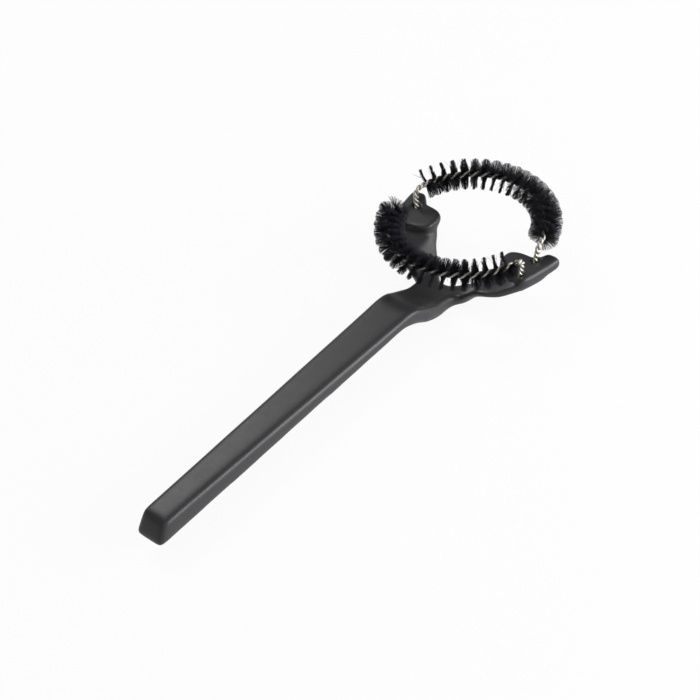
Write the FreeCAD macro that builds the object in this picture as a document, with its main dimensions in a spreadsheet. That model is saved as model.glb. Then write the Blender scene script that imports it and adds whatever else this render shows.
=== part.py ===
"""Group head brush: two half-ring wire brushes standing in the fork of a moulded handle.

Millimetres. X runs across the fork, Y along the handle towards the ring and Z up. The origin is
on the surface that the brush lies on, under the middle of its overall box. Every shape is drawn
about the middle of the brush ring, in the plane of the wire cores, and each piece's placement
then carries it to that frame.
"""
import FreeCAD, Part
import math
import os
import Sketcher

Vector = FreeCAD.Vector
doc = FreeCAD.newDocument("group_head_brush")

# Driving dimensions

SIZES = (
    # brush ring
    ("ring_radius", 29.0, "middle of the wire core in the half rings"),
    ("strand_diameter", 1.1, "one wire of the twisted pair"),
    ("filament_layer", 0.24, "filaments clamped between the two wires"),
    ("strand_clearance", 0.1, "between a wire and the clamped filaments"),
    ("twist_pitch", 7.8, "length of core in one full turn of the wires"),
    ("bristle_radius", 6.0, "core to filament tips"),
    ("fan_tip_width", 0.7, "thickness of a fan of filaments at its tips"),
    ("bare_length", 9.6, "half ring without filaments at each end"),
    ("bend_radius", 2.8, "core bend from a leg into the half ring"),
    # sockets
    ("leg_inset", 1.0, "how far inside the ring's width the legs stand"),
    ("leg_offset", 4.65, "legs to the line between the two brushes"),
    ("socket_depth", 3.2, "blind hole for the twisted legs"),
    ("socket_clearance", 0.1, "round the twisted pair"),
    ("socket_mouth", 1.0, "how far the hole's cutter stands out of the pad"),
    # pads, one on each arm, set out from the legs
    ("pad_drop", 8.0, "ring plane to the top of the round bosses"),
    ("leaf_rise", 0.8, "outer part of a pad over the boss"),
    ("leaf_inset", 0.9, "legs to the foot of the leaf's slope"),
    ("pad_depth", 4.4, "height of the bosses' side wall"),
    ("pad_margin", 6.6, "legs to the outer side"),
    ("hip_inset", 1.4, "how far the outer side comes in at its near end"),
    ("tongue_width", 4.9, "width of the pad's far tongue"),
    ("tongue_reach", 7.1, "legs to the tongue's end"),
    ("notch_width", 3.8, "slope of the notch between tongue and boss"),
    ("boss_margin", 10.8, "legs to the inner side of the round boss"),
    ("boss_reach", 2.9, "legs to the far side of the boss"),
    ("boss_width", 11.2, "far side of the boss to its near corner"),
    ("heel_reach", 4.3, "legs to the near end of the pad"),
    # arms and web
    ("web_drop", 18.5, "ring plane to the top of the web"),
    ("web_depth", 4.3, "thickness of web and arms"),
    ("web_half_width", 9.8, "flat middle of the web"),
    ("ramp_half_width", 16.6, "top of the steep part of an arm"),
    ("ramp_drop", 11.9, "height of that turn under the ring plane"),
    ("ramp_skew", 2.15, "the ramp's top, further out underneath"),
    ("ramp_depth", 3.9, "thickness at the ramp's top"),
    ("web_skew", 1.7, "the ramp's foot, further out underneath"),
    ("arm_step", 1.1, "top of the pad down to the outer end of an arm"),
    ("arm_inset", 0.7, "how far an arm's side stays inside the pad's"),
    ("arm_reach", 3.6, "far end of an arm, under the pad"),
    ("gap_bottom", 19.0, "point of the gap between the arms"),
    ("shoulder_inset", 10.4, "pad's outer side to the corner of the shoulder"),
    ("shoulder_reach", 18.3, "near side of the shoulder"),
    # neck and bar
    ("neck_half_width", 6.8, "neck between the bar and the fork"),
    ("neck_root_flare", 0.8, "how much wider the neck is at the shoulders"),
    ("neck_length", 9.7, "stretch on which the neck widens"),
    ("web_start", 25.5, "ring middle to the end of the dip on top"),
    ("dip_skew", 2.0, "how much sooner the dip ends underneath"),
    ("knee", 46.5, "ring middle to the knee on top"),
    ("butt", 166.0, "ring middle to the butt's top edge"),
    ("butt_slant", 3.2, "how much further the butt's lower edge reaches"),
    ("butt_half_width", 5.2, "half of the bar's top at the butt"),
    ("bar_drop", 9.5, "ring plane to the flat top of the bar"),
    ("knee_depth", 5.5, "thickness at the knee"),
    ("butt_depth", 9.3, "thickness at the butt"),
    ("side_draft", 5.0, "draft of the mould, in degrees"),
    ("butt_rounding", 0.42, "share of the lower rim's radius that it takes off the butt's reach"),
    # roundings
    ("rim_fillet", 1.0, "upper rims of fork, bar and pads"),
    ("floor_fillet", 1.2, "their lower rims"),
    ("gap_radius", 6.0, "round bottom of the gap"),
    ("boss_radius", 5.6, "round side of the boss"),
    ("notch_radius", 2.0, "notch between boss and tongue"),
    ("tongue_radius", 2.6, "round end of the tongue"),
    ("heel_radius", 2.4, "near end of the pad"),
    ("hip_radius", 18.0, "outer side of pad and arm"),
    ("shoulder_radius", 9.0, "corner of the shoulder"),
    ("flare_radius", 3.6, "neck into the shoulder"),
    ("neck_radius", 20.0, "beginning of the flare"),
    ("butt_radius", 2.0, "corners of the butt"),
    ("knee_radius", 14.0, "bends of the bar in side view"),
    ("ramp_radius", 3.2, "bends of the arms in end view"),
)

# Sizes that follow from the driving ones, each measured from the ring's middle

DERIVED = {
    "leg_spread": "ring_radius - leg_inset",
    "pad_outer": "leg_spread + pad_margin",
    "pad_hip": "pad_outer - hip_inset",
    "tongue_inner": "pad_outer - tongue_width",
    "tongue_end": "leg_offset + tongue_reach",
    "boss_inner": "leg_spread - boss_margin",
    "boss_end": "leg_offset + boss_reach",
    "heel": "leg_offset + heel_reach",
    "leaf_drop": "pad_drop - leaf_rise",
    "arm_top": "pad_drop + arm_step",
    "shoulder": "pad_outer - shoulder_inset",
    "neck_root": "neck_half_width + neck_root_flare",
    "neck_start": "shoulder_reach + neck_length",
    "web_floor": "web_drop + web_depth",
    "butt_end": "butt + butt_slant - butt_rounding * floor_fillet",
    "socket_radius": "strand_diameter + filament_layer / 2 + strand_clearance + socket_clearance",
}

sheet = doc.addObject("Spreadsheet::Sheet", "dims")
for row, (name, value, note) in enumerate(SIZES, start=1):
    sheet.set("A%d" % row, name)
    sheet.set("B%d" % row, str(value))
    sheet.set("C%d" % row, note)
    sheet.setAlias("B%d" % row, name)
doc.recompute()


def sheet_words(expression):
    """The expression with each size written as a cell of the sheet."""
    words = []
    for word in expression.replace("(", " ( ").replace(")", " ) ").split():
        if word in DERIVED:
            words.append("( %s )" % sheet_words(DERIVED[word]))
        else:
            words.append("dims." + word if word in ALIASES else word)
    return " ".join(words)


def size(expression):
    """Value of a size, or of a sum, difference or product of sizes."""
    reader.setExpression("Value", sheet_words(expression))
    reader.recompute()
    return reader.Value


ALIASES = {name for name, value, note in SIZES}
reader = doc.addObject("App::FeaturePython", "reader")
reader.addProperty("App::PropertyFloat", "Value")


# Rounded outlines

def corner_arc(before, corner, after, radius):
    """Start, middle and end of the arc of this radius that rounds the corner."""
    back = (before - corner).normalize()
    ahead = (after - corner).normalize()
    half = back.getAngle(ahead) / 2
    reach = radius / math.tan(half)
    centre = corner + (back + ahead).normalize() * (radius / math.sin(half))
    middle = centre + (corner - centre).normalize() * radius
    return corner + back * reach, middle, corner + ahead * reach


def outline(name, plane, corners):
    """Sketch of a closed polygon with rounded corners, fully set by the sheet.

    Each corner is (across, along, radius), written as expressions; the radius is None for a
    sharp corner. The corners stay in the sketch as construction points on the two lines that
    meet there, and each rounding is an arc tangent to those lines.
    """
    sketch = doc.addObject("Sketcher::SketchObject", name)
    rotations = {"XY": FreeCAD.Rotation(),
                 "XZ": FreeCAD.Rotation(Vector(1, 0, 0), 90),
                 "YZ": FreeCAD.Rotation(Vector(1, 1, 1), 120)}
    sketch.Placement = FreeCAD.Placement(Vector(), rotations[plane])
    points = [Vector(size(across), size(along), 0) for across, along, radius in corners]
    count = len(points)
    arcs = []
    for index, (across, along, radius) in enumerate(corners):
        if radius is None:
            arcs.append(None)
            continue
        arcs.append(corner_arc(points[index - 1], points[index], points[(index + 1) % count], size(radius)))
    lines = []
    for index in range(count):
        following = (index + 1) % count
        start = arcs[index][2] if arcs[index] else points[index]
        end = arcs[following][0] if arcs[following] else points[following]
        lines.append(sketch.addGeometry(Part.LineSegment(start, end), False))
    for index, (across, along, radius) in enumerate(corners):
        mark = sketch.addGeometry(Part.Point(points[index]), True)
        tie(sketch, "DistanceX", (-1, 1, mark, 1), points[index].x, across)
        tie(sketch, "DistanceY", (-1, 1, mark, 1), points[index].y, along)
        before, after = lines[index - 1], lines[index]
        if arcs[index] is None:
            sketch.addConstraint(Sketcher.Constraint("Coincident", before, 2, mark, 1))
            sketch.addConstraint(Sketcher.Constraint("Coincident", after, 1, mark, 1))
            continue
        sketch.addConstraint(Sketcher.Constraint("PointOnObject", mark, 1, before))
        sketch.addConstraint(Sketcher.Constraint("PointOnObject", mark, 1, after))
        arc = sketch.addGeometry(Part.Arc(*arcs[index]), False)
        ends = arc_ends(sketch, arc, arcs[index][0])
        sketch.addConstraint(Sketcher.Constraint("Tangent", before, 2, arc, ends[0]))
        sketch.addConstraint(Sketcher.Constraint("Tangent", after, 1, arc, ends[1]))
        tie(sketch, "Radius", (arc,), size(radius), radius)
    return sketch


def arc_ends(sketch, arc, start):
    """The arc's end numbers, the one at this start first."""
    return (1, 2) if sketch.getPoint(arc, 1).distanceToPoint(start) < 1e-6 else (2, 1)


def tie(sketch, kind, where, value, expression):
    """Constraint whose value follows the sheet."""
    number = sketch.addConstraint(Sketcher.Constraint(kind, *where, value))
    sketch.setExpression("Constraints[%d]" % number, sheet_words(expression))


def reflected(corners):
    """The corners of the same outline on the other side of the middle plane."""
    return [("- ( %s )" % across, along, radius) for across, along, radius in reversed(corners)]


# Blocks of the moulding

def extruded(name, profile, direction, forward, backward="0"):
    """Solid from an outline, its two lengths taken from the sheet."""
    block = doc.addObject("Part::Extrusion", name)
    block.Base = profile
    block.DirMode = "Custom"
    block.Dir = direction
    block.Solid = True
    block.setExpression("LengthFwd", sheet_words(forward))
    block.setExpression("LengthRev", sheet_words(backward))
    return block


def lowered(name, profile, top, depth):
    """Block that hangs from this height, given as a drop from the ring plane, down by the depth."""
    block = extruded(name, profile, DOWN, depth)
    block.setExpression("Placement.Base.z", sheet_words("- ( %s )" % top))
    return block


def combined(kind, name, blocks):
    """Fusion or common solid of the blocks."""
    result = doc.addObject(kind, name)
    result.Shapes = blocks
    result.Refine = True
    return result


def normal_at(face, point):
    """Outward normal of the face at the point nearest to this one."""
    across, along = face.Surface.parameter(point)
    return face.normalAt(across, along)


def rims(shape):
    """Numbers of the edges between a wall and an upper face, and between a wall and a lower one."""
    upper, lower = [], []
    for number, edge in enumerate(shape.Edges, start=1):
        middle = edge.valueAt((edge.FirstParameter + edge.LastParameter) / 2)
        slopes = [normal_at(face, middle).z for face in shape.ancestorsOfType(edge, Part.Face)]
        if len(slopes) != 2 or min(abs(slope) for slope in slopes) > WALL_SLOPE:
            continue
        if max(slopes) > WALL_SLOPE:
            upper.append(number)
        elif min(slopes) < -WALL_SLOPE:
            lower.append(number)
    return upper, lower


def softened(name, block, lower_too=True):
    """The block with its upper rims rounded, and its lower ones too."""
    doc.recompute()
    upper, lower = rims(block.Shape)
    above, below = size("rim_fillet"), size("floor_fillet")
    rounded = doc.addObject("Part::Fillet", name)
    rounded.Base = block
    rounded.Edges = [(number, above, above) for number in upper]
    if lower_too:
        rounded.Edges += [(number, below, below) for number in lower]
    return rounded


DOWN = Vector(0, 0, -1)
WALL_SLOPE = 0.45


# Fork, neck and bar: the common part of the plan, extruded down with the mould's draft, and of
# two slabs, the bar's side view across the part and the arms' end view along it

right_half = [
    ("boss_inner + 2 * arm_inset", "arm_reach", "notch_radius"),
    ("pad_outer - arm_inset", "arm_reach", "notch_radius"),
    ("pad_hip - arm_inset", "- heel_reach", "hip_radius"),
    ("shoulder", "- shoulder_reach", "shoulder_radius"),
    ("neck_root", "- shoulder_reach", "flare_radius"),
    ("neck_half_width", "- neck_start", "neck_radius"),
    ("butt_half_width", "- butt - butt_slant", "butt_radius"),
]
plan = outline("plan", "XY", [("0", "- gap_bottom", "gap_radius")] + right_half + reflected(right_half))

side = outline("side", "YZ", [
    ("- butt", "- bar_drop", None),
    ("- knee", "- bar_drop", "knee_radius"),
    ("- web_start", "- web_drop", "knee_radius"),
    ("- shoulder_reach - ramp_radius / 2", "- web_drop", None),
    ("- shoulder_reach - ramp_radius / 2", "- web_floor", None),
    ("- web_start - dip_skew", "- web_floor", "knee_radius"),
    ("- knee - dip_skew", "- bar_drop - knee_depth", "knee_radius"),
    ("- butt - butt_slant", "- bar_drop - butt_depth", None),
])

right_arm = [
    ("web_half_width", "- web_drop", "ramp_radius"),
    ("ramp_half_width", "- ramp_drop", "2 * ramp_radius"),
    ("pad_outer", "- arm_top", None),
    ("pad_outer + web_depth", "- arm_top - web_depth", None),
    ("ramp_half_width + ramp_skew", "- ramp_drop - ramp_depth", "2 * ramp_radius"),
    ("web_half_width + web_skew", "- web_floor", "ramp_radius"),
]
arms = outline("arms", "XZ", right_arm + reflected(right_arm))

blank = lowered("blank", plan, "pad_drop", "web_floor - pad_drop")
blank.setExpression("TaperAngle", sheet_words("side_draft"))
bar_slab = extruded("bar_slab", side, Vector(1, 0, 0), "web_half_width", "web_half_width")
arm_slab = extruded("arm_slab", arms, Vector(0, 1, 0), "pad_outer", "shoulder_reach + ramp_radius")
slabs = combined("Part::MultiFuse", "slabs", [bar_slab, arm_slab])
fork = softened("soft_fork", combined("Part::MultiCommon", "fork", [slabs, blank]))


# Pads: on the end of each arm a plate with a round boss on its inner side, and on its outer side
# a leaf that rises over the boss with a short slope

right_pad = [
    ("boss_inner", "boss_end", "boss_radius"),
    ("tongue_inner - notch_width", "boss_end", "notch_radius"),
    ("tongue_inner", "tongue_end", "tongue_radius"),
    ("pad_outer", "tongue_end", "tongue_radius"),
    ("pad_hip", "- heel", "heel_radius"),
    ("boss_inner", "boss_end - boss_width", "boss_radius"),
]
right_leaf = [
    ("leg_spread + leaf_inset - pad_depth", "- pad_drop - pad_depth", None),
    ("leg_spread + leaf_inset + leaf_rise", "- leaf_drop", None),
    ("pad_outer + leaf_rise", "- leaf_drop", None),
    ("pad_outer + leaf_rise", "- pad_drop - pad_depth", None),
]
shapes = [fork]
for hand, pad_corners, leaf_corners in (
    ("right", right_pad, right_leaf),
    ("left", reflected(right_pad), reflected(right_leaf)),
):
    pad_plan = outline(hand + "_pad_plan", "XY", pad_corners)
    leaf_side = outline(hand + "_leaf_side", "XZ", leaf_corners)
    plate = softened(hand + "_plate", lowered(hand + "_pad_block", pad_plan, "pad_drop", "pad_depth"))
    high_block = lowered(hand + "_high_block", pad_plan, "leaf_drop", "pad_depth / 2")
    high = softened(hand + "_high_plate", high_block, False)
    outer_part = extruded(hand + "_outer_part", leaf_side, Vector(0, 1, 0), "pad_outer", "pad_outer")
    leaf = combined("Part::MultiCommon", hand + "_leaf", [high, outer_part])
    shapes += [plate, leaf]
moulding = combined("Part::MultiFuse", "moulding", shapes)


# Sockets for the legs

sockets = []
for across, along in (("", ""), ("- ", ""), ("", "- "), ("- ", "- ")):
    socket = doc.addObject("Part::Cylinder", "socket")
    socket.setExpression("Radius", sheet_words("socket_radius"))
    socket.setExpression("Height", sheet_words("socket_depth + socket_mouth"))
    socket.setExpression("Placement.Base.x", sheet_words(across + "( leg_spread )"))
    socket.setExpression("Placement.Base.y", sheet_words(along + "( leg_offset )"))
    socket.setExpression("Placement.Base.z", sheet_words("- pad_drop - socket_depth"))
    sockets.append(socket)
handle = doc.addObject("Part::Cut", "handle")
handle.Label = "handle"
handle.Base = moulding
handle.Tool = combined("Part::MultiFuse", "drilled", sockets)


# Wire brushes

def core_station(run):
    """Core point, and the directions outward from the ring axis and along the core, after this run.

    The core climbs out of its socket, bends into the ring plane, follows the half ring and comes
    down the same way at the other end, so the far half of the run mirrors the near half.
    """
    mirror = run > CORE_LENGTH / 2
    run = CORE_LENGTH - run if mirror else run
    bend = size_of["bend_radius"]
    turn = min(max((run - LEG_RUN) / bend, 0.0), math.pi / 2)
    height = min(run, LEG_RUN) - LEG_RUN - bend + bend * math.sin(turn)
    lean = min(max(run - size_of["socket_depth"], 0.0) / (LEG_RUN - size_of["socket_depth"]), 1.0)
    reach = LEG_REACH + (size_of["ring_radius"] - LEG_REACH) * lean
    past = max(run - LEG_RUN - bend * math.pi / 2, 0.0)
    angle = LEG_ANGLE + (bend * (1 - math.cos(turn)) + past) / size_of["ring_radius"]
    climb, advance = math.cos(turn), math.sin(turn)
    if mirror:
        angle, climb = math.pi - angle, -climb
    outward = Vector(math.cos(angle), math.sin(angle), 0)
    forward = Vector(-math.sin(angle), math.cos(angle), 0) * advance + Vector(0, 0, climb)
    return outward * reach + Vector(0, 0, height), outward, forward


def twisted(run, section):
    """Section points, given as (away from the core, across), turned with the left-hand twist."""
    point, outward, forward = core_station(run)
    sideways = forward.cross(outward)
    turn = -math.pi / 2 - 2 * math.pi * (run - CORE_LENGTH / 2) / size_of["twist_pitch"]
    away = outward * math.cos(turn) + sideways * math.sin(turn)
    across = sideways * math.cos(turn) - outward * math.sin(turn)
    return [point + away * radial + across * tangential for radial, tangential in section]


def ribbon_solid(stations, folded=()):
    """Closed solid of flat triangles through a row of sections, with a flat face at each end.

    Each side of the section is split along one diagonal, and the folded sides along the other,
    so that the two faces of a thin twisted layer stay parallel.
    """
    faces = []
    for near, far in zip(stations, stations[1:]):
        for index in range(len(near)):
            following = (index + 1) % len(near)
            if index in folded:
                faces.append(triangle(near[index], near[following], far[index]))
                faces.append(triangle(near[following], far[following], far[index]))
            else:
                faces.append(triangle(near[index], near[following], far[following]))
                faces.append(triangle(near[index], far[following], far[index]))
    for end in (stations[0], stations[-1]):
        faces.append(Part.Face(Part.makePolygon(end + [end[0]])))
    return Part.Solid(Part.makeShell(faces))


def triangle(first, second, third):
    """Flat face on three points."""
    return Part.Face(Part.makePolygon([first, second, third, first]))


def runs_between(start, end, per_turn):
    """Evenly spaced runs along the core, about this many in a turn of the twist."""
    count = round((end - start) / size_of["twist_pitch"] * per_turn)
    return [start + (end - start) * index / count for index in range(count + 1)]


def strand_section(side):
    """Round wire cut square to the core: an oval, longer across by the slope of its helix."""
    radius = size_of["strand_diameter"] / 2
    away = radius + size_of["filament_layer"] / 2 + size_of["strand_clearance"]
    slope = math.atan(2 * math.pi * away / size_of["twist_pitch"])
    corners = []
    for index in range(STRAND_SIDES):
        angle = 2 * math.pi * index / STRAND_SIDES
        across = radius / math.cos(slope) * math.sin(angle)
        corners.append((side * (away + radius * math.cos(angle)), side * across))
    return corners


def fan_section():
    """Filaments cut square to the core: a thin layer between the wires, wider at its tips."""
    thin, wide = size_of["filament_layer"] / 2, size_of["fan_tip_width"] / 2
    waist, tip = size_of["strand_diameter"] * WAIST_SHARE, size_of["bristle_radius"]
    upper = [(wide, tip), (thin, waist), (thin, -waist), (wide, -tip)]
    return upper + [(-away, across) for away, across in reversed(upper)]


STRAND_SIDES = 5
STRAND_STEPS = 11
FAN_STEPS = 20
WAIST_SHARE = 0.5
UNDERSIDE = (4, 5, 6)
size_of = {name: size(name) for name in [*ALIASES, *DERIVED]}
LEG_RUN = size_of["pad_drop"] + size_of["socket_depth"] - size_of["bend_radius"]
LEG_REACH = math.hypot(size_of["leg_spread"], size_of["leg_offset"])
LEG_ANGLE = math.atan2(size_of["leg_offset"], size_of["leg_spread"])
BEND_ANGLE = LEG_ANGLE + size_of["bend_radius"] / size_of["ring_radius"]
HALF_RING = size_of["ring_radius"] * (math.pi - 2 * BEND_ANGLE)
CORE_LENGTH = 2 * LEG_RUN + math.pi * size_of["bend_radius"] + HALF_RING
BRISTLE_RUN = CORE_LENGTH / 2 - size_of["ring_radius"] * math.pi / 2 + size_of["bare_length"]

core_runs = runs_between(0, CORE_LENGTH, STRAND_STEPS)
fan_runs = runs_between(BRISTLE_RUN, CORE_LENGTH - BRISTLE_RUN, FAN_STEPS)
pieces = [handle]
for brush, turn in (("far_brush", 0), ("near_brush", 180)):
    shapes = (
        ("strand_a", [twisted(run, strand_section(1)) for run in core_runs], ()),
        ("strand_b", [twisted(run, strand_section(-1)) for run in core_runs], ()),
        ("bristles", [twisted(run, fan_section()) for run in fan_runs], UNDERSIDE),
    )
    for name, stations, folded in shapes:
        piece = doc.addObject("Part::Feature", brush + "_" + name)
        piece.Label = brush + "_" + name
        piece.Shape = ribbon_solid(stations, folded)
        piece.Placement = FreeCAD.Placement(Vector(), FreeCAD.Rotation(Vector(0, 0, 1), turn))
        pieces.append(piece)

# Each piece is carried to the part's frame: the web on the floor and the box over the origin

for piece in pieces:
    piece.setExpression("Placement.Base.y", sheet_words("( butt_end - ring_radius - bristle_radius ) / 2"))
    piece.setExpression("Placement.Base.z", sheet_words("web_floor"))
doc.recompute()

# Check and write

for each in doc.Objects:
    if "Invalid" in each.State or "Error" in each.State:
        raise RuntimeError("%s did not build: %s" % (each.Name, each.getStatusString()))
for piece in pieces:
    if piece.Shape.isNull() or not piece.Shape.isValid() or len(piece.Shape.Solids) != 1:
        raise RuntimeError("%s is not one valid solid" % piece.Label)
os.makedirs("parts", exist_ok=True)
for piece in pieces:
    piece.Shape.exportStep("parts/%s.step" % piece.Label)
    print("%-22s %9.1f mm3  %s" % (piece.Label, piece.Shape.Volume, piece.Shape.BoundBox))
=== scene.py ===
"""Group head brush: form and finish of the moulded handle, the twisted wires and the filaments.

Metres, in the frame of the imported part: X across the fork, Y along the handle towards the ring,
Z up. The wires and filaments are worked out about the middle of the brush ring, in the plane of
the wire cores, and then carried to their place, the near brush turned half round. The handle's
form is worked out about the same middle, in millimetres.
"""
import math

import bmesh
import bpy
import numpy as np
from mathutils import Matrix, Vector


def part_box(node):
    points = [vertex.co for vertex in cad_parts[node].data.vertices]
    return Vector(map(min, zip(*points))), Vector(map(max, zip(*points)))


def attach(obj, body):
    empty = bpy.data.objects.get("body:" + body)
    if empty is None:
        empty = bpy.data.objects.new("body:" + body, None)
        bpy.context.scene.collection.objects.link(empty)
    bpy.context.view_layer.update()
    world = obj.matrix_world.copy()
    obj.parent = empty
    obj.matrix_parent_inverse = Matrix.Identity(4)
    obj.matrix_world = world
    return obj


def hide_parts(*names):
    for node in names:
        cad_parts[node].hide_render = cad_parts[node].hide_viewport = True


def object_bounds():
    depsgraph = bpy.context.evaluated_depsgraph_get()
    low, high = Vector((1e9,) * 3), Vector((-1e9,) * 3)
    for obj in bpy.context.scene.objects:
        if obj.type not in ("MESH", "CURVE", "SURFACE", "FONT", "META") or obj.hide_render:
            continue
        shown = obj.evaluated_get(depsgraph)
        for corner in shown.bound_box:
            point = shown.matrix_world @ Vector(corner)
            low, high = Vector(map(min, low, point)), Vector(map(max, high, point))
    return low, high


bl_info = {
    "name": "Group head brush",
    "version": (1, 0, 0),
    "blender": (4, 5, 0),
    "location": "3D View > Sidebar > Brush",
    "description": "Moulded handle, twisted wires and nylon filaments of a group head brush",
    "category": "Add Mesh",
}

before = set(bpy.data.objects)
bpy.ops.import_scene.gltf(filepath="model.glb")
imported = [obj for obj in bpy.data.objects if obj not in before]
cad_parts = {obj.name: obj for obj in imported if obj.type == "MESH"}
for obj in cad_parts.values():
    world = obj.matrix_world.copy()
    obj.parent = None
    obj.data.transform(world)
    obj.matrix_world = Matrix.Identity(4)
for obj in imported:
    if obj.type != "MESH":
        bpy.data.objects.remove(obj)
CAD_LOW, CAD_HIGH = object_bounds()
FAR_LOW, FAR_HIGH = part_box("far_brush_bristles")
NEAR_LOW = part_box("near_brush_bristles")[0]

MILLIMETRE = 0.001
RING_CENTRE = np.array([0.0, (FAR_HIGH.y + NEAR_LOW.y) / 2, (FAR_LOW.z + FAR_HIGH.z) / 2])

# Brush sizes, with the wires a little thinner than the part's and twisted tighter where bare

RING_RADIUS = 29.0 * MILLIMETRE
STRAND_RADIUS = 0.52 * MILLIMETRE
FILAMENT_LAYER = 0.24 * MILLIMETRE
STRAND_CLEARANCE = 0.03 * MILLIMETRE
TWIST_PITCH = 7.8 * MILLIMETRE
BARE_PITCH = 4.3 * MILLIMETRE
TWIST_START = 0.25 * MILLIMETRE
BRISTLE_RADIUS = 6.0 * MILLIMETRE
BARE_LENGTH = 9.4 * MILLIMETRE
BEND_RADIUS = 2.8 * MILLIMETRE
LEG_SPREAD = 28.0 * MILLIMETRE
LEG_OFFSET = 4.65 * MILLIMETRE
PAD_DROP = 8.0 * MILLIMETRE
SOCKET_DEPTH = 3.2 * MILLIMETRE
RING_LEAN = np.array([0.6, 0.25, 0.0]) * MILLIMETRE

LEG_RUN = PAD_DROP + SOCKET_DEPTH - BEND_RADIUS
LEG_REACH = math.hypot(LEG_SPREAD, LEG_OFFSET)
LEG_ANGLE = math.atan2(LEG_OFFSET, LEG_SPREAD)
BEND_ANGLE = LEG_ANGLE + BEND_RADIUS / RING_RADIUS
CORE_LENGTH = 2 * LEG_RUN + math.pi * BEND_RADIUS + RING_RADIUS * (math.pi - 2 * BEND_ANGLE)
BRISTLE_RUN = CORE_LENGTH / 2 - RING_RADIUS * math.pi / 2 + BARE_LENGTH
STRAND_AWAY = STRAND_RADIUS + FILAMENT_LAYER / 2 + STRAND_CLEARANCE
BARE_AWAY = STRAND_RADIUS * 1.04
PITCH_CHANGE = TWIST_PITCH / 8
UPWARD = np.array([0.0, 0.0, 1.0])

# Filaments: places along one as shares of its half length, its thinner tips, its random tones, and the
# painted light that makes its tips paler

FILAMENT_PLACES = np.array([-1.0, -0.62, -0.2, 0.2, 0.62, 1.0])
TIP_THINNING = 0.3
LAYER_FILLED = 0.6
ROOT_SHADES = (0, 0.55)
# Painted light added towards the tips, standing for light shining through the thin nylon
TIP_PAINTED_LIGHT = 0.45

# Bar and butt, in millimetres about the ring's middle: lines are a place, a value and a slope

BAR_TOP = -9.5
PART_UNDERSIDE = (-48.5, -15.0, 0.0315)
BAR_UNDERSIDE = (-44.0, -13.3, 0.0305)
BAR_SPAN = (-26, -46)
TOP_SPARE = 0.8
UNDERSIDE_SPARE = 0.42
TAPER = (-166, 0.897, 0.00142)
TAPER_LIMITS = (0.88, 1.065)
TAPER_SPAN = (-18, -28)
SIDE_SPARE = 0.8
SIDE_BEGINS = 5
SIDE_SPAN = (-24, -34)
BUTT_SPAN = (-158, -168)
BUTT_LONGER = 0.9
BUTT_SLANT = 2.4

# Knee and neck

KNEE_SPAN = (-75, -52, -44, -34)
KNEE_FORWARD = 2.0
NECK_SPAN = (-50, -38, -24, -14)
NECK_MIDDLE = ((-48.0, -26.0), (-12.0, -20.5))
NECK_FACES = (-1.5, 1.5)
NECK_RISE = 1.3
NECK_EDGE_RISE = 1.3
NECK_EDGE = (3, 8)

# Fork: arms, gap and pads

FORK_SPAN = (-28, -20)
ARM_CREASE = ((8.5, 11.5, 17.2), (-18.5, -16.9, -12.4))
ARM_DEPTH_KEPT = ((8.5, 11.5, 17.2, 19.0, 23.0, 27.6, 34.0), (1, 0.78, 0.72, 0.76, 0.56, 0.35, 0.3))
GAP_LINE = (-19, 0, 0.82)
GAP_SIDE = (5, 0)
GAP_AWAY = (6, 12)
GAP_BELOW = (-11, -12.5)
GAP_NARROWER = 0.7
HEEL = (24.5, -17.1)
HEEL_SPREAD = 20
HEEL_IN = 0.1
HEEL_FORWARD = 0.5
BOSS_AWAY = (14, 16, 18.5, 24)
BOSS_ALONG = (-7, -3)
BOSS_IN = 1.1
OUTER_LINE = (-8.95, -1.5, 0.14)
OUTER_AWAY = (29.7, 33)
OUTER_ALONG = (-14, -9)
PAD_FAR_ALONG = (2, 7)
PAD_FAR_AWAY = (15.5, 18)
RIGHT_PAD_BACK = 1.3
RIGHT_TIP_LESS = 1.1
RIGHT_TIP_AWAY = (29, 32)
LEFT_PAD_BACK = -0.6

# Softening: its rate at the pads, what is added elsewhere, and the spans of both

SOCKET_STILL = (1.5, 2.9)
SOCKET_SHARP = (1.9, 2.8)
PAD_RATE = 0.17
SIDE_RATE = 0.4
SHOULDER_RATE = 0.33
BEHIND_PADS = (-8, -16)
OUTER_SIDE = (29.8, 32.5)
BELOW_PADS = (-10.5, -12.5)
SHOULDER_ALONG = (-32, -24, -12, -5)
SHOULDER_AWAY = (7, 11)
MERGE_DISTANCE = 0.001 * MILLIMETRE

# Stage: each lamp's name, width, height and place, the room's colours, the camera's sensor

LAMPS = (
    ("key", 0.3, 0.3, (-0.53, 0.22, 0.64)),
    ("rim", 0.9, 0.42, (0.62, 0.38, 0.22)),
    ("fill", 0.5, 0.5, (0.35, -0.60, 0.55)),
)
WHITE = (1.0, 1.0, 1.0, 1.0)
PAPER_GREY = (0.9, 0.9, 0.9, 1.0)
SENSOR_WIDTH = 36.0


# Shader maths

class Number:
    """A number in a shader: arithmetic on it adds the Math nodes that work it out."""

    def __init__(self, finish, socket):
        self.finish = finish
        self.socket = socket

    def combined(self, operation, first, second):
        """The Math node's result for two numbers, either of them a shader number."""
        return self.finish.node("ShaderNodeMath", {"operation": operation}, {0: first, 1: second})

    def __add__(self, other):
        return self.combined("ADD", self, other)

    def __sub__(self, other):
        return self.combined("SUBTRACT", self, other)

    def __rsub__(self, other):
        return self.combined("SUBTRACT", other, self)

    def __mul__(self, other):
        return self.combined("MULTIPLY", self, other)

    __radd__ = __add__
    __rmul__ = __mul__


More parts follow.
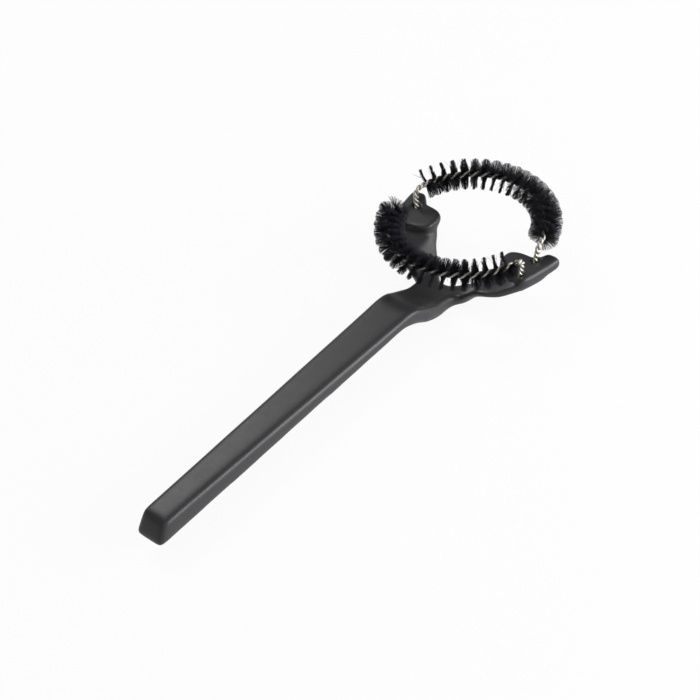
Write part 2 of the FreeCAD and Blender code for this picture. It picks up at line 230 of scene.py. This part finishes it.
class Finish:
    """A node material while it is put together."""

    def __init__(self, name):
        self.material = bpy.data.materials.new(name)
        self.material.use_nodes = True
        self.tree = self.material.node_tree
        self.tree.nodes.clear()

    def node(self, kind, settings=None, inputs=None, output=0):
        """Adds a node, makes its settings first, then sets or links its sockets."""
        node = self.tree.nodes.new(kind)
        for name, value in (settings or {}).items():
            setattr(node, name, value)
        for name, value in (inputs or {}).items():
            if isinstance(value, Number):
                self.tree.links.new(value.socket, node.inputs[name])
            else:
                node.inputs[name].default_value = value
        return Number(self, node.outputs[output])

    def place(self):
        """Object coordinates."""
        return self.node("ShaderNodeTexCoord", output="Object")

    def noise(self, scale, detail=2.0, roughness=0.5):
        """Noise between 0 and 1 with this many cells a metre."""
        values = {"Vector": self.place(), "Scale": scale, "Detail": detail, "Roughness": roughness}
        return self.node("ShaderNodeTexNoise", None, values)

    def blend(self, share, first, second):
        """Colour between two colours."""
        values = {0: share, 6: first, 7: second}
        return self.node("ShaderNodeMix", {"data_type": "RGBA"}, values, 2)

    def bump(self, height, distance, strength=1.0):
        """Normal of a surface with this relief."""
        values = {"Height": height, "Distance": distance, "Strength": strength}
        return self.node("ShaderNodeBump", None, values)

    def surface(self, shader):
        """Makes the shader the material's surface."""
        output = self.tree.nodes.new("ShaderNodeOutputMaterial")
        self.tree.links.new(shader.socket, output.inputs["Surface"])
        return self.material


def opaque(colour, share=1.0):
    """The colour with each channel times the share, and nothing seen through it."""
    return (*(channel * share for channel in colour), 1.0)


def moulded_plastic(settings):
    """Black moulded plastic: fine spark-eroded grain, faint cloudiness and rubbed patches."""
    finish = Finish("moulded_plastic")
    cloud = finish.noise(70.0, detail=3.0)
    rubbed = finish.noise(260.0, detail=4.0, roughness=0.6)
    grain = finish.noise(1 / (settings.grain_size * MILLIMETRE), detail=3.0, roughness=0.6)
    tone = cloud * 0.6 + grain * 0.3
    shader = finish.node("ShaderNodeBsdfPrincipled", None, {
        "Base Color": finish.blend(tone, opaque(settings.colour), opaque(settings.colour, 1.5)),
        "Roughness": settings.roughness - 0.08 + rubbed * 0.1 + grain * 0.06,
        "Specular IOR Level": 0.5,
        "Normal": finish.bump(grain, settings.grain_depth * MILLIMETRE),
    })
    return finish.surface(shader)


def galvanised_wire(settings):
    """Bright zinc-coated wire: drawn streaks and slightly uneven gloss."""
    finish = Finish("galvanised_wire")
    streak = finish.noise(2600.0, detail=3.0, roughness=0.6)
    patch = finish.noise(420.0)
    tone = patch * 0.7 + streak * 0.2
    shader = finish.node("ShaderNodeBsdfPrincipled", None, {
        "Base Color": finish.blend(tone, opaque(settings.colour), opaque(settings.colour, 0.72)),
        "Metallic": 1.0,
        "Roughness": settings.roughness + streak * 0.14,
        "Normal": finish.bump(streak, 0.02 * MILLIMETRE, strength=0.5),
    })
    return finish.surface(shader)


def black_nylon(settings):
    """Black nylon filaments: each its own random tone, and paler and greyer towards its cut tips,
    where painted light stands for light shining through them.
    """
    finish = Finish("black_nylon")
    shade = finish.node("ShaderNodeAttribute", {"attribute_name": "shade"}, output="Fac")
    shader = finish.node("ShaderNodeBsdfPrincipled", None, {
        # Dark nylon blended towards the pale colour by each filament's random tone and by painted
        # light at its tips
        "Base Color": finish.blend(shade, opaque(settings.colour), opaque(settings.pale_and_tip_light_colour)),
        "Roughness": 0.5 - 0.12 * shade,
        "Specular IOR Level": 0.15,
    })
    return finish.surface(shader)


# Meshes from arrays

def new_piece(name, points, triangles, material):
    """Object from a table of points and a table of triangles; the object sits at the origin."""
    mesh = bpy.data.meshes.new(name)
    mesh.vertices.add(len(points))
    mesh.vertices.foreach_set("co", points.astype(np.float32).ravel())
    mesh.loops.add(triangles.size)
    mesh.loops.foreach_set("vertex_index", triangles.astype(np.int32).ravel())
    mesh.polygons.add(len(triangles))
    mesh.polygons.foreach_set("loop_start", np.arange(0, triangles.size, 3, dtype=np.int32))
    mesh.polygons.foreach_set("use_smooth", np.ones(len(triangles), dtype=bool))
    mesh.update(calc_edges=True)
    mesh.materials.append(material)
    piece = bpy.data.objects.new(name, mesh)
    bpy.context.scene.collection.objects.link(piece)
    return piece


def tube_triangles(stations, sides):
    """Triangles of a closed tube whose points are numbered station by station.

    Each side of a station makes two triangles with the next station, and each end is a fan on
    its first point.
    """
    along, round_it = np.meshgrid(np.arange(stations - 1), np.arange(sides), indexing="ij")
    first = (along * sides + round_it).ravel()
    second = (along * sides + (round_it + 1) % sides).ravel()
    walls = np.concatenate([
        np.stack([first, second, second + sides], 1),
        np.stack([first, second + sides, first + sides], 1),
    ])
    middle = np.arange(1, sides - 1)
    start = np.stack([np.zeros_like(middle), middle + 1, middle], 1)
    last = (stations - 1) * sides
    end = np.stack([np.full_like(middle, last), last + middle, last + middle + 1], 1)
    return np.concatenate([walls, start, end])


# Form of the handle

def eased(value, start, end):
    """Share that goes from 0 at the start to 1 at the end, level at both: 3 s^2 - 2 s^3."""
    share = np.clip((value - start) / (end - start), 0, 1)
    return share * share * (3 - 2 * share)


def plateau(value, start, full, falling, end):
    """Share that rises from 0 at the start to 1, stays, and falls again to 0 at the end."""
    return eased(value, start, full) * eased(value, end, falling)


def on_line(along, line):
    """Value of a straight line here: its value at its place, plus its slope times the way on."""
    place, value, slope = line
    return value + slope * (along - place)


def socket_distance(away, along):
    """Distance from the middle of the nearest socket, seen from above, in millimetres."""
    return np.hypot(away - LEG_SPREAD / MILLIMETRE, np.abs(along) - LEG_OFFSET / MILLIMETRE)


def even_shell(source, name, cube):
    """New object with the node's shell, its doubles merged, rebuilt on an even grid of cubes."""
    mesh = source.data.copy()
    shell = bmesh.new()
    shell.from_mesh(mesh)
    bmesh.ops.remove_doubles(shell, verts=shell.verts, dist=MERGE_DISTANCE)
    shell.to_mesh(mesh)
    shell.free()
    piece = bpy.data.objects.new(name, mesh)
    bpy.context.scene.collection.objects.link(piece)
    grid = piece.modifiers.new("even_grid", "REMESH")
    grid.mode = "VOXEL"
    grid.voxel_size = cube
    finished = piece.evaluated_get(bpy.context.evaluated_depsgraph_get())
    even = bpy.data.meshes.new_from_object(finished)
    piece.modifiers.clear()
    piece.data = even
    bpy.data.meshes.remove(mesh)
    even.name = name
    return piece


def bar_moves(away, along, height):
    """Moves of the bar outwards, forwards and upwards.

    The underside goes from the part's line to the bar's, the top stays, and a point between
    them takes its share. The width is multiplied by a taper that falls towards the butt. Top,
    underside and sides stand out by what the softening takes off them. The butt's end goes
    back, and further back the lower it is.
    """
    part_underside = on_line(along, PART_UNDERSIDE)
    upper = np.clip((height - part_underside) / (BAR_TOP - part_underside), 0, 1)
    underside_lift = on_line(along, BAR_UNDERSIDE) - UNDERSIDE_SPARE - part_underside
    taper = np.clip(on_line(along, TAPER), *TAPER_LIMITS)
    side = np.clip(away / SIDE_BEGINS, 0, 1)
    outwards = away * (taper - 1) * eased(along, *TAPER_SPAN)
    outwards += SIDE_SPARE * side * eased(along, *SIDE_SPAN)
    forwards = -(BUTT_LONGER + BUTT_SLANT * (1 - upper)) * eased(along, *BUTT_SPAN)
    upwards = upper * TOP_SPARE + (1 - upper) * underside_lift
    return np.stack([outwards, forwards, upwards * eased(along, *BAR_SPAN)])


def neck_moves(away, along, height):
    """Moves of the knee and neck: the knee nearer the fork, the neck's upper face higher."""
    outwards = np.zeros_like(away)
    forwards = KNEE_FORWARD * plateau(along, *KNEE_SPAN)
    upper = eased(height - np.interp(along, *NECK_MIDDLE), *NECK_FACES)
    rise = NECK_RISE + NECK_EDGE_RISE * eased(away, *NECK_EDGE)
    return np.stack([outwards, forwards, rise * upper * plateau(along, *NECK_SPAN)])


def fork_moves(hand, away, along, height):
    """Moves of the arms and pads outwards, forwards and upwards.

    Below its crease an arm keeps only a share of its depth. The gap's sides come nearer to each
    other low down. On a pad, the heel goes a little forward, the boss's inner side in, and the
    outer side to a slanted line. The right pad's far side comes nearer, less so at its tip,
    and the left pad's goes farther.
    """
    fork = eased(along, *FORK_SPAN)
    heel_away, heel_along = HEEL
    heel = np.exp(-((away - heel_away) ** 2 + (along - heel_along) ** 2) / HEEL_SPREAD)
    gap_side = eased(away - on_line(along, GAP_LINE), *GAP_SIDE)
    gap_side *= eased(away, *GAP_AWAY) * eased(height, *GAP_BELOW)
    outwards = GAP_NARROWER * gap_side * fork - HEEL_IN * heel
    outwards -= BOSS_IN * plateau(away, *BOSS_AWAY) * eased(along, *BOSS_ALONG)
    outer_side = eased(away, *OUTER_AWAY) * eased(along, *OUTER_ALONG)
    outwards += on_line(along, OUTER_LINE) * outer_side
    right_back = RIGHT_PAD_BACK - RIGHT_TIP_LESS * eased(away, *RIGHT_TIP_AWAY)
    far_back = np.where(hand > 0, right_back, LEFT_PAD_BACK)
    far_side = eased(along, *PAD_FAR_ALONG) * eased(away, *PAD_FAR_AWAY)
    forwards = HEEL_FORWARD * heel - far_back * far_side
    below_crease = np.minimum(height - np.interp(away, *ARM_CREASE), 0)
    upwards = -fork * (1 - np.interp(away, *ARM_DEPTH_KEPT)) * below_crease
    return np.stack([outwards, forwards, upwards])


def moulded_form(points):
    """The handle's points, in millimetres about the ring's middle, moved to the moulding's form.

    The moves of the bar, the neck and the fork add up. Each is a size times smooth shares, so
    that it comes in and goes out evenly, and near the sockets nothing moves.
    """
    across, along, height = points.T
    hand, away = np.sign(across), np.abs(across)
    moves = bar_moves(away, along, height) + neck_moves(away, along, height)
    moves += fork_moves(hand, away, along, height)
    moves *= eased(socket_distance(away, along), *SOCKET_STILL)
    moves[0] *= hand
    return points + moves.T


def relaxed(points, edges, rate, rounds):
    """Points drawn again and again towards the mean of their neighbours, each at its own rate."""
    first, second = edges.T
    ends, others = np.concatenate([first, second]), np.concatenate([second, first])
    neighbours = np.bincount(ends, minlength=len(points))[:, None]
    for _ in range(rounds):
        sums = [np.bincount(ends, points[others, axis], len(points)) for axis in range(3)]
        points = points + rate[:, None] * (np.stack(sums, 1) / neighbours - points)
    return points


def softening_rates(points):
    """How fast each point softens: least on the pads' tops, more on sides, arms and shoulders."""
    across, along, height = points.T
    away = np.abs(across)
    side = np.maximum(eased(away, *OUTER_SIDE), eased(height, *BELOW_PADS))
    side = np.maximum(side, eased(along, *BEHIND_PADS))
    shoulder = plateau(along, *SHOULDER_ALONG) * eased(away, *SHOULDER_AWAY)
    rate = PAD_RATE + SIDE_RATE * side + SHOULDER_RATE * shoulder
    return rate * eased(socket_distance(away, along), *SOCKET_SHARP)


def soften(piece, rounds):
    """Moves the even shell to the moulding's form and rounds its rims, all but the sockets."""
    mesh = piece.data
    points = np.empty(len(mesh.vertices) * 3)
    mesh.vertices.foreach_get("co", points)
    points = moulded_form((points.reshape(-1, 3) - RING_CENTRE) / MILLIMETRE)
    edges = np.empty(len(mesh.edges) * 2, dtype=np.int32)
    mesh.edges.foreach_get("vertices", edges)
    points = relaxed(points, edges.reshape(-1, 2), softening_rates(points), rounds)
    mesh.vertices.foreach_set("co", (points * MILLIMETRE + RING_CENTRE).ravel())
    mesh.polygons.foreach_set("use_smooth", np.ones(len(mesh.polygons), dtype=bool))
    mesh.update()


# Core of a brush

def core_line(run):
    """Points of the core, its directions away from the ring's axis, and its own directions.

    The core climbs straight out of its socket while its distance from the ring's axis goes from
    the leg's to the ring's, turns through a quarter of a circle into the ring's plane, follows
    the half ring, and comes down the same way: the second half of the run mirrors the first.
    """
    second_half = run > CORE_LENGTH / 2
    run = np.where(second_half, CORE_LENGTH - run, run)
    turn = np.clip((run - LEG_RUN) / BEND_RADIUS, 0, math.pi / 2)
    height = np.minimum(run, LEG_RUN) - LEG_RUN - BEND_RADIUS + BEND_RADIUS * np.sin(turn)
    lean = np.clip((run - SOCKET_DEPTH) / (LEG_RUN - SOCKET_DEPTH), 0, 1)
    reach = LEG_REACH + (RING_RADIUS - LEG_REACH) * lean
    past = np.maximum(run - LEG_RUN - BEND_RADIUS * math.pi / 2, 0)
    angle = LEG_ANGLE + (BEND_RADIUS * (1 - np.cos(turn)) + past) / RING_RADIUS
    angle = np.where(second_half, math.pi - angle, angle)
    climb = np.where(second_half, -1, 1) * np.cos(turn)
    level = np.zeros_like(run)
    outward = np.stack([np.cos(angle), np.sin(angle), level], -1)
    along = np.stack([-np.sin(angle), np.cos(angle), level], -1)
    forward = along * np.sin(turn)[..., None] + UPWARD * climb[..., None]
    return outward * reach[..., None] + UPWARD * height[..., None], outward, forward


def twist_directions(run):
    """Core points, core directions, and the two directions that turn left-handed with the wires.

    The turn is a quarter back from level in the middle of the core and one full turn in each
    pitch, which is shorter where the core is bare. Away points from the core to the first wire,
    and across along the filaments.
    """
    point, outward, forward = core_line(run)
    sideways = np.cross(forward, outward)
    past_middle = run - CORE_LENGTH / 2
    bare = np.sign(past_middle) * np.maximum(np.abs(past_middle) - CORE_LENGTH / 2 + BRISTLE_RUN, 0)
    turns = past_middle / TWIST_PITCH + bare * (1 / BARE_PITCH - 1 / TWIST_PITCH)
    turn = -math.pi / 2 - 2 * math.pi * (turns + TWIST_START / TWIST_PITCH)
    cosine, sine = np.cos(turn)[..., None], np.sin(turn)[..., None]
    return point, forward, outward * cosine + sideways * sine, sideways * cosine - outward * sine


def carried(points, brush):
    """Points about the ring's middle taken to the part's frame, the near brush turned half round.

    The legs lean a little, so that the ring stands that much off its middle.
    """
    turned = (points * np.array([-1, -1, 1]) if brush == "near" else points).reshape(-1, 3)
    share = np.clip(1 + turned[:, 2] / PAD_DROP, 0, 1)
    return turned + share[:, None] * RING_LEAN + RING_CENTRE


def strand_points(side, steps_per_turn, sides):
    """Grid of points on one wire: stations along the core by points round the wire.

    A round wire wound on a core and cut square to it is an oval: its radius away from the core,
    and across it the radius divided by the cosine of the winding's slope. Where the core is
    bare, the two wires lie closer together.
    """
    count = round(CORE_LENGTH / BARE_PITCH * steps_per_turn) + 1
    run = np.linspace(0, CORE_LENGTH, count)
    point, forward, away, across = twist_directions(run)
    bristled = CORE_LENGTH / 2 - BRISTLE_RUN
    past_middle = np.abs(run - CORE_LENGTH / 2)
    bare = eased(past_middle, bristled - PITCH_CHANGE, bristled + PITCH_CHANGE)
    pitch = TWIST_PITCH + (BARE_PITCH - TWIST_PITCH) * bare
    apart = STRAND_AWAY + (BARE_AWAY - STRAND_AWAY) * bare
    slope = np.arctan(2 * math.pi * apart / pitch)
    around = np.linspace(0, 2 * math.pi, sides, endpoint=False)
    radial = side * (apart[:, None] + STRAND_RADIUS * np.cos(around))
    tangential = side * STRAND_RADIUS / np.cos(slope)[:, None] * np.sin(around)
    return (point[:, None] + away[:, None] * radial[:, :, None]
            + across[:, None] * tangential[:, :, None])


def drifting(values, spacing, random):
    """Smooth random numbers about 0 along these values, with a new one at every spacing."""
    knots = np.arange(values.min() - spacing, values.max() + 2 * spacing, spacing)
    return np.interp(values, knots, random.normal(0, 1, len(knots)))


def filament_points(settings, random):
    """Points and colour shares of the filaments of one brush, each a slim prism through the core. A
    colour share is the filament's own random tone plus painted light, for light shining through the
    thin tips, that grows towards its tips.

    A filament runs along the across direction from tip to tip. Its points are the core point
    plus across times the distance from the core, plus a lean that grows with the square of that
    distance and a bow that grows with the distance. Part of the lean is shared and drifts along
    the core, so that neighbours draw together into tufts, and part is its own.
    """
    count, share = settings.count, FILAMENT_PLACES
    start, end = BRISTLE_RUN - settings.longer_end * MILLIMETRE, CORE_LENGTH - BRISTLE_RUN
    run = start + (end - start) * (np.arange(count) + random.uniform(0, 1, count)) / count
    point, forward, away, across = twist_directions(run)
    ends = np.sign(share)
    reach = np.empty((count, len(share)))
    lean_forward = np.empty_like(reach)
    lean_away = np.empty_like(reach)
    for side in (-1, 1):
        columns = np.flatnonzero(ends == side)
        tip = BRISTLE_RADIUS * (1 - np.abs(random.normal(0, settings.length_spread, count)))
        shared = drifting(run, settings.tuft_width * MILLIMETRE, random) * settings.tuft_lean
        own = random.normal(0, settings.spread, count)
        stray = random.uniform(0, 1, count) < settings.stray_share
        own *= np.where(stray, settings.stray_lean, 1.0)
        bow = random.uniform(-1, 1, count) * settings.fan_thickness / 2
        reach[:, columns] = share[columns] * tip[:, None]
        lean_forward[:, columns] = (shared + own)[:, None] * share[columns] ** 2
        lean_away[:, columns] = bow[:, None] * np.abs(share[columns])
    middle = (point[:, None] + across[:, None] * reach[..., None]
              + forward[:, None] * (lean_forward * MILLIMETRE)[..., None]
              + away[:, None] * (lean_away * MILLIMETRE)[..., None])
    layer = random.uniform(-0.5, 0.5, (count, 1, 1)) * FILAMENT_LAYER * LAYER_FILLED
    middle += away[:, None] * layer
    radius = settings.diameter / 2 * MILLIMETRE * (1 - TIP_THINNING * share ** 2)
    around = np.array([0, 1, 2]) * 2 * math.pi / 3
    section = (away[:, None] * np.cos(around)[None, :, None]
               + forward[:, None] * np.sin(around)[None, :, None])
    points = middle[:, :, None] + section[:, None] * radius[None, :, None, None]
    # Each filament's own random tone, plus painted light that grows towards its tips for light shining
    # through them
    own_shade = random.uniform(*ROOT_SHADES, count)[:, None]
    shade = np.clip(own_shade + TIP_PAINTED_LIGHT * share ** 2, 0, 1)
    return points, np.repeat(shade[:, :, None], len(around), axis=2)


# Settings

class HandleSettings(bpy.types.PropertyGroup):
    colour: bpy.props.FloatVectorProperty(
        name="Plastic colour", description="Colour of the moulded plastic",
        subtype="COLOR", size=3, min=0, max=1, default=(0.019, 0.019, 0.021))
    roughness: bpy.props.FloatProperty(
        name="Roughness", description="Roughness of the moulded surface",
        subtype="FACTOR", min=0, max=1, default=0.42)
    grain_size: bpy.props.FloatProperty(
        name="Grain size", description="Width of the grain in millimetres",
        min=0.05, max=2, default=0.45)
    grain_depth: bpy.props.FloatProperty(
        name="Grain depth", description="Depth of the grain in millimetres",
        min=0, max=0.2, default=0.045)
    cube: bpy.props.FloatProperty(
        name="Grid", description="Side of the cubes that the shell is rebuilt on, in millimetres",
        min=0.3, max=2, default=0.42)
    rounds: bpy.props.IntProperty(
        name="Softening", description="Rounds of smoothing that round the rims",
        min=0, max=80, default=60)


class WireSettings(bpy.types.PropertyGroup):
    colour: bpy.props.FloatVectorProperty(
        name="Wire colour", description="Colour of the zinc-coated wire",
        subtype="COLOR", size=3, min=0, max=1, default=(0.64, 0.61, 0.54))
    roughness: bpy.props.FloatProperty(
        name="Roughness", description="Roughness of the wire",
        subtype="FACTOR", min=0, max=1, default=0.42)
    sides: bpy.props.IntProperty(
        name="Sides", description="Points round a wire", min=6, max=32, default=16)
    steps: bpy.props.IntProperty(
        name="Steps", description="Stations in one turn of the tight twist",
        min=8, max=64, default=20)


class FilamentSettings(bpy.types.PropertyGroup):
    colour: bpy.props.FloatVectorProperty(
        name="Nylon colour", description="Colour of a filament near the wires",
        subtype="COLOR", size=3, min=0, max=1, default=(0.004, 0.004, 0.006))
    # Pale colour reached by the palest filaments and by the tips, which painted light makes paler
    pale_and_tip_light_colour: bpy.props.FloatVectorProperty(
        name="Tip colour", description="Colour of the palest filament tips",
        subtype="COLOR", size=3, min=0, max=1, default=(0.024, 0.022, 0.032))
    count: bpy.props.IntProperty(
        name="Count", description="Filaments in one brush", min=100, max=6000, default=3900)
    diameter: bpy.props.FloatProperty(
        name="Diameter", description="Diameter of a filament in millimetres",
        min=0.03, max=0.5, default=0.13)
    fan_thickness: bpy.props.FloatProperty(
        name="Fan thickness", description="Thickness of a fan at its tips in millimetres",
        min=0, max=4, default=0.9)
    spread: bpy.props.FloatProperty(
        name="Spread", description="Lean of single filaments along the core, in millimetres",
        min=0, max=2, default=0.27)
    tuft_lean: bpy.props.FloatProperty(
        name="Tuft lean", description="Lean that neighbouring filaments share, in millimetres",
        min=0, max=2, default=0.22)
    tuft_width: bpy.props.FloatProperty(
        name="Tuft width", description="Length of core in one tuft, in millimetres",
        min=0.1, max=5, default=0.3)
    length_spread: bpy.props.FloatProperty(
        name="Length spread", description="How unevenly the tips are trimmed",
        subtype="FACTOR", min=0, max=0.3, default=0.025)
    longer_end: bpy.props.FloatProperty(
        name="Longer end",
        description="How much sooner a brush begins at its first leg, in millimetres",
        min=0, max=3, default=0.9)
    stray_share: bpy.props.FloatProperty(
        name="Strays", description="Share of filaments that lean far out of line",
        subtype="FACTOR", min=0, max=1, default=0.012)
    stray_lean: bpy.props.FloatProperty(
        name="Stray lean", description="How many times further a stray filament leans",
        min=1, max=20, default=7.0)
    seed: bpy.props.IntProperty(
        name="Seed", description="Start of the random draws", min=0, default=7)


class CameraSettings(bpy.types.PropertyGroup):
    azimuth: bpy.props.FloatProperty(
        name="Azimuth", description="Direction of view round the part",
        subtype="ANGLE", default=math.radians(45.597))
    elevation: bpy.props.FloatProperty(
        name="Elevation", description="Height of the camera over the horizon",
        subtype="ANGLE", default=math.radians(43.414))
    roll: bpy.props.FloatProperty(
        name="Roll", description="Turn of the camera about its own axis",
        subtype="ANGLE", default=math.radians(-7.371))
    distance: bpy.props.FloatProperty(
        name="Distance", description="Camera to the middle of the ring along the view",
        subtype="DISTANCE", unit="LENGTH", default=0.700)
    across: bpy.props.FloatProperty(
        name="Across", description="Middle of the ring to the right of the picture's middle",
        subtype="DISTANCE", unit="LENGTH", default=0.042871)
    above: bpy.props.FloatProperty(
        name="Above", description="Middle of the ring over the picture's middle",
        subtype="DISTANCE", unit="LENGTH", default=0.046854)
    lens: bpy.props.FloatProperty(
        name="Lens", description="Focal length in millimetres on a 36 mm sensor", default=97.525)


class StageSettings(bpy.types.PropertyGroup):
    floor_size: bpy.props.FloatProperty(
        name="Floor size", description="Side of the square floor",
        subtype="DISTANCE", unit="LENGTH", default=8.0)
    floor_shadow: bpy.props.FloatProperty(
        name="Floor shadow", description="Share of the floor's own shading that the camera sees",
        subtype="FACTOR", min=0, max=1, default=0.08)
    key_power: bpy.props.FloatProperty(
        name="Key light", description="Power of the high light on the far left, in watts", default=2.3)
    rim_power: bpy.props.FloatProperty(
        name="Rim light", description="Power of the low light on the right, in watts", default=8.5)
    fill_power: bpy.props.FloatProperty(
        name="Fill light", description="Power of the weak light by the camera, in watts", default=1.0)
    room_light: bpy.props.FloatProperty(
        name="Room light", description="Even light from all round", min=0, max=1, default=0.25)


# Operators, one for each piece or group of like pieces

class MakeHandle(bpy.types.Operator):
    """Makes the moulded handle with its soft rims and its grained black plastic"""
    bl_idname = "brush.make_handle"
    bl_label = "Make the handle"

    def execute(self, context):
        settings = context.scene.brush_handle
        piece = even_shell(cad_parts["handle"], "moulded_handle", settings.cube * MILLIMETRE)
        soften(piece, settings.rounds)
        piece.data.materials.clear()
        piece.data.materials.append(moulded_plastic(settings))
        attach(piece, "root")
        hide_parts("handle")
        return {"FINISHED"}


class MakeWires(bpy.types.Operator):
    """Winds the four wires of the two brushes"""
    bl_idname = "brush.make_wires"
    bl_label = "Wind the wires"

    def execute(self, context):
        settings = context.scene.brush_wire
        material = galvanised_wire(settings)
        for brush in ("far", "near"):
            for letter, side in (("a", 1), ("b", -1)):
                grid = strand_points(side, settings.steps, settings.sides)
                triangles = tube_triangles(len(grid), settings.sides)
                wire = new_piece(f"{brush}_wire_{letter}", carried(grid, brush), triangles, material)
                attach(wire, "root")
                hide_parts(f"{brush}_brush_strand_{letter}")
        return {"FINISHED"}


class MakeFilaments(bpy.types.Operator):
    """Sets the nylon filaments of the two brushes between their wires"""
    bl_idname = "brush.make_filaments"
    bl_label = "Set the filaments"

    def execute(self, context):
        settings = context.scene.brush_filament
        random = np.random.default_rng(settings.seed)
        material = black_nylon(settings)
        for brush in ("far", "near"):
            points, shade = filament_points(settings, random)
            count, stations, sides = shade.shape
            single = tube_triangles(stations, sides)
            starts = np.arange(count)[:, None, None] * stations * sides
            triangles = (single[None] + starts).reshape(-1, 3)
            bristles = new_piece(f"{brush}_filaments", carried(points, brush), triangles, material)
            # Each point's random tone plus painted light at the tips, read by the nylon material
            tone = bristles.data.attributes.new("shade", "FLOAT", "POINT")
            tone.data.foreach_set("value", shade.astype(np.float32).ravel())
            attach(bristles, "root")
            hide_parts(f"{brush}_brush_bristles")
        return {"FINISHED"}


def white_paper(shadow):
    """Matt white paper that the camera and glossy surfaces see as white, with a weak shadow."""
    finish = Finish("white_paper")
    rays = finish.node("ShaderNodeLightPath", output="Is Camera Ray")
    glossy = finish.node("ShaderNodeLightPath", output="Is Glossy Ray")
    seen = (rays + glossy) * (1 - shadow)
    paper = finish.node("ShaderNodeBsdfDiffuse", None, {"Color": PAPER_GREY})
    glow = finish.node("ShaderNodeEmission", None, {"Color": WHITE, "Strength": 1.0})
    return finish.surface(finish.node("ShaderNodeMixShader", None, {0: seen, 1: paper, 2: glow}))


def area_light(name, power, width, height, place, target):
    """Lamp with a rectangular face at a place, turned to shine on the target."""
    data = bpy.data.lights.new(name, "AREA")
    data.energy = power
    data.shape = "RECTANGLE"
    data.size = width
    data.size_y = height
    lamp = bpy.data.objects.new(name, data)
    bpy.context.scene.collection.objects.link(lamp)
    lamp.location = place
    lamp.rotation_euler = (target - Vector(place)).to_track_quat("-Z", "Y").to_euler()


def white_room(light):
    """World that the camera sees as white and that lights the part evenly with this strength."""
    world = bpy.data.worlds.new("white_room")
    world.use_nodes = True
    nodes, links = world.node_tree.nodes, world.node_tree.links
    rays = nodes.new("ShaderNodeLightPath")
    strength = nodes.new("ShaderNodeMapRange")
    links.new(rays.outputs["Is Camera Ray"], strength.inputs["Value"])
    strength.inputs["To Min"].default_value = light
    strength.inputs["To Max"].default_value = 1.0
    nodes["Background"].inputs["Color"].default_value = WHITE
    links.new(strength.outputs["Result"], nodes["Background"].inputs["Strength"])
    return world


class MakeStage(bpy.types.Operator):
    """Lays the white floor and hangs the lamps"""
    bl_idname = "brush.make_stage"
    bl_label = "Set the stage"

    def execute(self, context):
        settings = context.scene.brush_stage
        half = settings.floor_size / 2
        corners = np.array([[-half, -half, 0], [half, -half, 0], [half, half, 0], [-half, half, 0]])
        triangles = np.array([[0, 1, 2], [0, 2, 3]])
        floor = new_piece("floor", corners, triangles, white_paper(settings.floor_shadow))
        middle = (CAD_LOW + CAD_HIGH) / 2
        for name, width, height, place in LAMPS:
            power = getattr(settings, f"{name}_power")
            area_light(f"{name}_light", power, width, height, place, middle)
        context.scene.world = white_room(settings.room_light)
        context.scene.view_settings.view_transform = "Standard"
        return {"FINISHED"}


class MakeCamera(bpy.types.Operator):
    """Sets the camera at the reference view"""
    bl_idname = "brush.make_camera"
    bl_label = "Place the camera"

    def execute(self, context):
        settings = context.scene.brush_camera
        azimuth, elevation, roll = settings.azimuth, settings.elevation, settings.roll
        back = Vector((math.sin(azimuth) * math.cos(elevation),
                       -math.cos(azimuth) * math.cos(elevation), math.sin(elevation)))
        level = Vector((math.cos(azimuth), math.sin(azimuth), 0))
        upright = back.cross(level)
        right = math.cos(roll) * level + math.sin(roll) * upright
        up = math.cos(roll) * upright - math.sin(roll) * level
        data = bpy.data.cameras.new("camera")
        data.lens = settings.lens
        data.sensor_width = SENSOR_WIDTH
        data.clip_start = 0.01
        camera = bpy.data.objects.new("camera", data)
        context.scene.collection.objects.link(camera)
        place = Vector(RING_CENTRE) + settings.distance * back
        place -= settings.across * right + settings.above * up
        turned = Matrix((right, up, back)).transposed().to_4x4()
        camera.matrix_world = Matrix.Translation(place) @ turned
        context.scene.camera = camera
        return {"FINISHED"}


class BrushPanel(bpy.types.Panel):
    """Settings and steps of the brush"""
    bl_idname = "VIEW3D_PT_group_head_brush"
    bl_label = "Group head brush"
    bl_space_type = "VIEW_3D"
    bl_region_type = "UI"
    bl_category = "Brush"

    def draw(self, context):
        for attribute, operator in STEPS:
            box = self.layout.box()
            settings = getattr(context.scene, attribute)
            for name in settings.bl_rna.properties.keys():
                if name not in ("rna_type", "name"):
                    box.prop(settings, name)
            box.operator(operator.bl_idname)


STEPS = (
    ("brush_camera", MakeCamera),
    ("brush_handle", MakeHandle),
    ("brush_wire", MakeWires),
    ("brush_filament", MakeFilaments),
    ("brush_stage", MakeStage),
)
GROUPS = {
    "brush_camera": CameraSettings,
    "brush_handle": HandleSettings,
    "brush_wire": WireSettings,
    "brush_filament": FilamentSettings,
    "brush_stage": StageSettings,
}
CLASSES = (*GROUPS.values(), *(operator for attribute, operator in STEPS), BrushPanel)


def register():
    for each in CLASSES:
        bpy.utils.register_class(each)
    for attribute, group in GROUPS.items():
        setattr(bpy.types.Scene, attribute, bpy.props.PointerProperty(type=group))


def unregister():
    for attribute in GROUPS:
        delattr(bpy.types.Scene, attribute)
    for each in reversed(CLASSES):
        bpy.utils.unregister_class(each)


def main():
    """Makes the pieces in order."""
    register()
    bpy.ops.brush.make_camera()
    bpy.ops.brush.make_handle()
    bpy.ops.brush.make_wires()
    bpy.ops.brush.make_filaments()
    bpy.ops.brush.make_stage()


if __name__ == "__main__":
    main()
